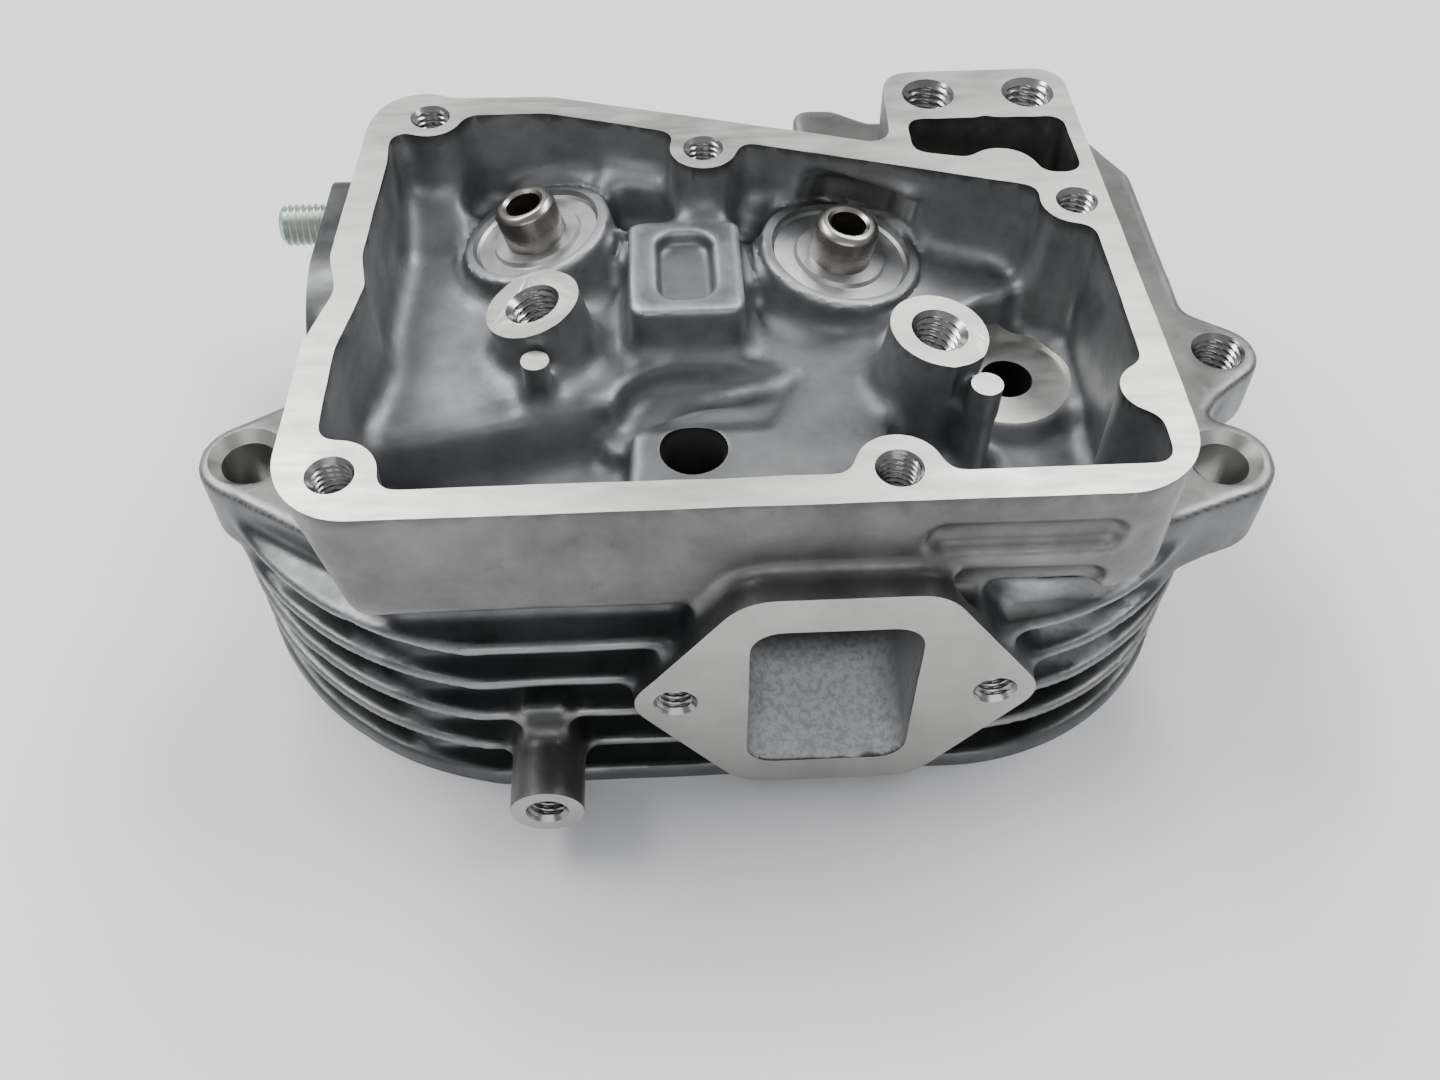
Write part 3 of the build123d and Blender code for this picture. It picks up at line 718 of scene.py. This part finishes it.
def casting_blank():
    """Cast surface before machining, with fillets in its inside corners."""
    voxel = 0.6
    margin = 7.0
    light_blur = 0.4
    skin_blur = 0.45
    cavity_blur = 0.8
    cavity_edge = 3
    field = Field(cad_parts["head_casting"], voxel, margin)
    fill_slopes(field)
    stock(field)
    sharp = field.blurred(field.values, light_blur)
    field.close(FILLET)
    tight = field.blurred(field.values, skin_blur)
    field.close(CAVITY_FILLET)
    cut, x, y, z = field.window(*CAVITY_WINDOW)
    wide = field.blurred(field.values[cut], cavity_blur)
    weight = np.clip(depth_inside(*CAVITY, x, y, z) / cavity_edge, 0, 1)
    field.values = tight
    field.values[cut] = tight[cut] * (1 - weight) + wide * weight
    crisp = crisp_zones(field)
    field.values = field.values * (1 - crisp) + sharp * crisp
    free_post(field)
    field.values += 0.05 * smooth_noise(field, 9.0, 3) + 0.025 * smooth_noise(field, 3.0, 5)
    field.edges = field.blurred(np.clip(field.values, -3, 3), 1.3)
    points, _, quads = field.polygons(0.0)
    mesh = bpy.data.meshes.new("casting")
    loops = quads[:, ::-1].astype(np.int32)
    mesh.vertices.add(len(points))
    mesh.vertices.foreach_set("co", (points * MM).astype(np.float32).ravel())
    mesh.loops.add(loops.size)
    mesh.loops.foreach_set("vertex_index", loops.ravel())
    mesh.polygons.add(len(loops))
    mesh.polygons.foreach_set("loop_start", np.arange(0, loops.size, 4, dtype=np.int32))
    mesh.update(calc_edges=True)
    mesh.validate()
    obj = bpy.data.objects.new("casting", mesh)
    bpy.context.scene.collection.objects.link(obj)
    # fewer faces where the surface is flat
    thin = obj.modifiers.new("thin", "DECIMATE")
    thin.ratio = 0.32
    apply_modifiers(obj)
    return obj, field


def tag_surface(obj, field):
    """Stores on each point how worn, deep and level it is, and the part of the casting it belongs to, as
    weights for painted light and shade: a painted highlight with the wear on convex edges, painted shade on
    upward faces, low on the outside and deep in the rocker box, painted light on the port floor.
    """
    mesh = obj.data
    points = np.empty(len(mesh.vertices) * 3, dtype=np.float32)
    mesh.vertices.foreach_get("co", points)
    points = points.reshape(-1, 3) / MM
    normals = np.empty(len(mesh.vertices) * 3, dtype=np.float32)
    mesh.vertices.foreach_get("normal", normals)
    x, y, z = points.T
    wall = 2.1
    deck_floor = 35
    pocket_floor = 19.5
    full_bulge = 0.55
    outer_top_shade = 0.76
    bulge = field.at(field.edges, points) / full_bulge
    # how much a face turns up: the weight of the painted shade on upward faces and of the painted light on
    # the port floor, weaker outside the middle of the rocker box
    level = np.clip(normals.reshape(-1, 3)[:, 2], 0, 1)
    level = level * np.where(within(points, BOX_MIDDLE), 1.0, outer_top_shade)
    box = within(points, BOX_SKIN) & (y < back_wall(x) + wall)
    pockets = (z > pocket_floor) & (y < -41) & ((x < -13) | (x > 37))
    inside = box & ((z > deck_floor) | pockets)
    shade = ~inside & ~within(points, SHROUD_BOSS) & (z < 44.5)
    duct = within(points, DUCT) & ~inside
    # rubbed wear and painted highlight on convex edges; on the lower outside only the most convex edges
    wear_and_sheen = np.where(shade, np.clip((bulge - 0.9) / 0.6, 0, 1), np.clip((bulge - 0.3) / 0.7, 0, 0.8))
    layers = {"edge": wear_and_sheen,
              "inside": inside,
              # painted light on the port floor: bright near the mouth, fading inward, more on faces that turn
              # up
              "port_floor_light": duct * np.clip((-51 - y) / 7, 0, 1) * np.clip(0.25 + level, 0, 1),
              "shade": shade,
              # painted shade, darker the deeper in the rocker box
              "deep_shade": np.clip((45 - z) / 12, 0, 1) * inside,
              "level": level}
    for name, values in layers.items():
        layer = mesh.attributes.new(name, "FLOAT", "POINT")
        layer.data.foreach_set("value", values.astype(np.float32))


def face_cutters():
    """Blocks and discs that mill the flat faces."""
    above = 80
    below = -20
    parts = [block((-REACH, -REACH, COVER_FACE), (REACH, REACH, above)),
             block((-REACH, -REACH, below), (REACH, REACH, 0))]
    for (start, end, top), face in ((INTAKE_CUT, INTAKE_FACE), (SHROUD_CUT, BOSS_FACE)):
        parts.append(block((start, -REACH, CUT_FOOT), (end, face, top)))
    start, end, top = EXHAUST_CUT
    parts.append(block((-REACH, start, CUT_FOOT), (EXHAUST_FACE, end, top)))
    for name, _ in VALVES:
        parts.append(lathe([(8.5, 0), (8.5, 4.5)], BOSS_PLACE[name]))
    spot = [(SPOT_RADIUS, SPOT_FACE), (SPOT_RADIUS, SPOT_FACE + 3)]
    parts.append(lathe(spot, place((*HEAD_BOLTS[1], 0), UP)))
    return parts


def tap(thread, matrix, depth, overrun=OVERRUN):
    """Tapped hole with a chamfered mouth, from the face that matrix places."""
    return screw(thread, matrix, -depth, overrun, thread["mouth"]), TAPPED


def hole_cutters():
    """Tools that drill, tap and counterbore, each with the surface it leaves."""
    parts = []
    for x, y in COVER_SCREWS:
        parts.append(tap(M6, place((x, y, COVER_FACE), UP), M6_DEPTH))
    for x, y in BRACKET_SCREWS:
        parts.append(tap(M8, place((x, y, COVER_FACE), UP), M8_DEPTH))
    for x, z in INTAKE_SCREWS:
        parts.append(tap(M6, place((x, INTAKE_FACE, z), (0, -1, 0)), M6_DEPTH))
    parts.append(tap(M6, SHROUD_PLACE, M6_DEPTH))
    parts.append(tap(M8, place((*THREADED_EAR, DECK), UP), EAR_THREAD_DEPTH))
    for name, _ in VALVES:
        parts.append(tap(M8, BOSS_PLACE[name], ROCKER_THREAD_DEPTH, 1.0))
    parts.append((screw(M14, PLUG_PLACE, -4, PLUG_THREAD + 0.6), TAPPED))
    for x, y, top, radius in POSTS:
        wider = radius + 0.8
        parts.append((lathe([(wider, top), (wider, top + 5)], place((x, y, 0), UP)), MILLED))
    ear = [(BOLT_RADIUS, -14.5), (BOLT_RADIUS, -1.7), (6.0, 0), (6.0, 3)]
    for x, y in PLAIN_EARS:
        parts.append((lathe(ear, place((x, y, DECK), UP)), MILLED))
    mouth = OIL_HOLE + 0.5
    oil = [(OIL_HOLE, -1), (OIL_HOLE, 45.2), (mouth, 46.0), (mouth, 50)]
    parts.append((lathe(oil, place((*HEAD_BOLTS[0], 0), UP)), BORED))
    bolt = [(BOLT_RADIUS, -1), (BOLT_RADIUS, SPOT_FACE + 2)]
    parts.append((lathe(bolt, place((*HEAD_BOLTS[1], 0), UP)), BORED))
    for x, y in HEAD_BOLTS[2:]:
        parts.append((lathe([(BOLT_RADIUS, -1), (BOLT_RADIUS, 46)], place((x, y, 0), UP)), BORED))
    for name, valve in VALVES:
        outer = valve["ring"] - RING_LIP
        recess = [(GUIDE_OUTSIDE, -26), (GUIDE_OUTSIDE, -0.8), (7.4, -0.8), (7.8, -1.5), (outer - 0.5, -1.5),
                  (outer, -1.1), (outer + 0.5, 1.5)]
        parts.append((lathe(recess, VALVE_PLACE[name], 96), TURNED))
        top = SEAT_HEIGHT - valve["drop"]
        pocket = [(valve["seat"], top - 12), (valve["seat"], top), (valve["throat"], top),
                  (valve["throat"], top + 3)]
        parts.append((lathe(pocket, VALVE_PLACE[name], 96), BORED))
    return parts


def build_casting():
    """Cast blank, milled and drilled, with each cutter leaving its own surface."""
    blank, field = casting_blank()
    materials = (cast_material(), milled_material(), shaded_thread_material(), shaded_bore_material(), turned_material())
    for material in materials:
        blank.data.materials.append(material)
    cut_away(blank, joined("mills", [(*part, MILLED) for part in face_cutters()], materials))
    drills = [(*part, surface) for part, surface in hole_cutters()]
    cut_away(blank, joined("drills", drills, materials))
    tag_surface(blank, field)
    blank.data.polygons.foreach_set("use_smooth", [True] * len(blank.data.polygons))
    blank.data.set_sharp_from_angle(angle=math.radians(38))
    blank.name = "cast_head"
    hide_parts("head_casting")
    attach(blank, "root")


# ---------------------------------------------------------------- pressed-in and screwed-in pieces
def turned_ring(name, node, matrix, profile, material):
    """Ring turned from a closed list of (radius, height) corners."""
    segments = 96
    faces = tube_faces(len(profile), segments, True)
    finish_piece(make_object(name, rings(profile, matrix, segments), faces, material), node)


def guide(name, node, matrix):
    """Steel sleeve with a chamfered top and a lead into its bore."""
    profile = [(GUIDE_BORE, -24.0), (4.7, -24.0), (GUIDE_OUTSIDE, -23.4), (GUIDE_OUTSIDE, 5.0), (5.15, 5.25),
               (4.45, 5.9), (4.2, 6.0), (3.55, 6.0), (GUIDE_BORE, 5.6)]
    turned_ring(name, node, matrix, profile, guide_material())


def seat_ring(name, node, matrix, valve):
    """Seat ring with a broken outer edge and three cuts on its valve face."""
    low = -valve["drop"]
    high = low + SEAT_HEIGHT
    outside = valve["seat"]
    throat = valve["throat"]
    wide = throat + 0.7 * (outside - throat)
    middle = (wide + throat) / 2
    drop = (wide - throat) / 2
    profile = [(outside, low), (outside, high - 0.4), (outside - 0.4, high), (throat, high),
               (throat, low + 2 * drop + 0.5), (throat + 0.15, low + 2 * drop), (middle, low + drop),
               (wide, low)]
    turned_ring(name, node, matrix, profile, seat_material())


def finish_piece(obj, node):
    """Smooth shading with sharp corners, and the piece's place in the frame."""
    obj.data.polygons.foreach_set("use_smooth", [True] * len(obj.data.polygons))
    obj.data.set_sharp_from_angle(angle=math.radians(32))
    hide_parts(node)
    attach(obj, "root")


def stud(name, node, y, z):
    """Zinc plated stud with a rolled thread on the end that shows."""
    rolled = {"minor": 3.35, "major": 4.0, "pitch": 1.25}
    in_metal = 14
    in_air = 11
    matrix = place((EXHAUST_FACE, y, z), (-1, 0, 0))
    points, faces = screw(rolled, matrix, -in_metal, in_air, end_chamfer=0.9, shank=3.38)
    finish_piece(make_object(name, points, faces, zinc_material()), node)


# ---------------------------------------------------------------- stage
def stage():
    """Pale floor, soft room light and three area lights."""
    material, _, _, shader = new_material("table_top")
    shader.inputs["Base Color"].default_value = (0.78, 0.78, 0.79, 1)
    shader.inputs["Roughness"].default_value = 0.45
    shader.inputs["Specular IOR Level"].default_value = 0.3
    size = 1500
    under = -0.05
    corners = [(-size, -size, under), (size, -size, under), (size, size, under), (-size, size, under)]
    floor = make_object("table_top", corners, [(0, 1, 2, 3)], material)
    world = bpy.data.worlds.new("room")
    world.use_nodes = True
    bpy.context.scene.world = world
    world.node_tree.nodes["Background"].inputs["Color"].default_value = (0.93, 0.95, 1.0, 1)
    world.node_tree.nodes["Background"].inputs["Strength"].default_value = 0.45
    for name, at, target, power, size_x, size_y in (
            ("ceiling_left", (-500, 350, 900), (0, 0, 30), 14, 900, 300),
            ("ceiling_right", (500, 350, 900), (0, 0, 30), 11, 900, 300),
            ("window", (0, -900, 500), (0, 0, 30), 3.0, 900, 500)):
        light = bpy.data.lights.new(name, "AREA")
        light.shape = "RECTANGLE"
        light.size = size_x * MM
        light.size_y = size_y * MM
        light.energy = power
        obj = bpy.data.objects.new(name, light)
        bpy.context.scene.collection.objects.link(obj)
        obj.location = Vector(at) * MM
        obj.rotation_euler = (Vector(target) - Vector(at)).to_track_quat("-Z", "Y").to_euler()


def camera():
    """Camera at the photograph's angle."""
    data = bpy.data.cameras.new("camera")
    data.lens = CAMERA_LENS
    data.sensor_width = 36
    data.clip_start = 0.01
    obj = bpy.data.objects.new("camera", data)
    bpy.context.scene.collection.objects.link(obj)
    obj.location = Vector(CAMERA_AT) * MM
    forward = Vector(CAMERA_FORWARD).normalized()
    side = forward.cross(UP).normalized()
    up = side.cross(forward)
    obj.matrix_world = Matrix.Translation(obj.location) @ Matrix((side, up, -forward)).transposed().to_4x4()
    bpy.context.scene.camera = obj


build_casting()
guide("guide_intake", "intake_valve_guide", VALVE_PLACE["intake"])
guide("guide_exhaust", "exhaust_valve_guide", VALVE_PLACE["exhaust"])
stud("stud_rear", "exhaust_stud_rear", 36.0, 31.3)
stud("stud_front", "exhaust_stud_front", -12.0, 13.0)
seat_ring("seat_intake", "intake_valve_seat", VALVE_PLACE["intake"], INTAKE)
seat_ring("seat_exhaust", "exhaust_valve_seat", VALVE_PLACE["exhaust"], EXHAUST)
stage()
camera()
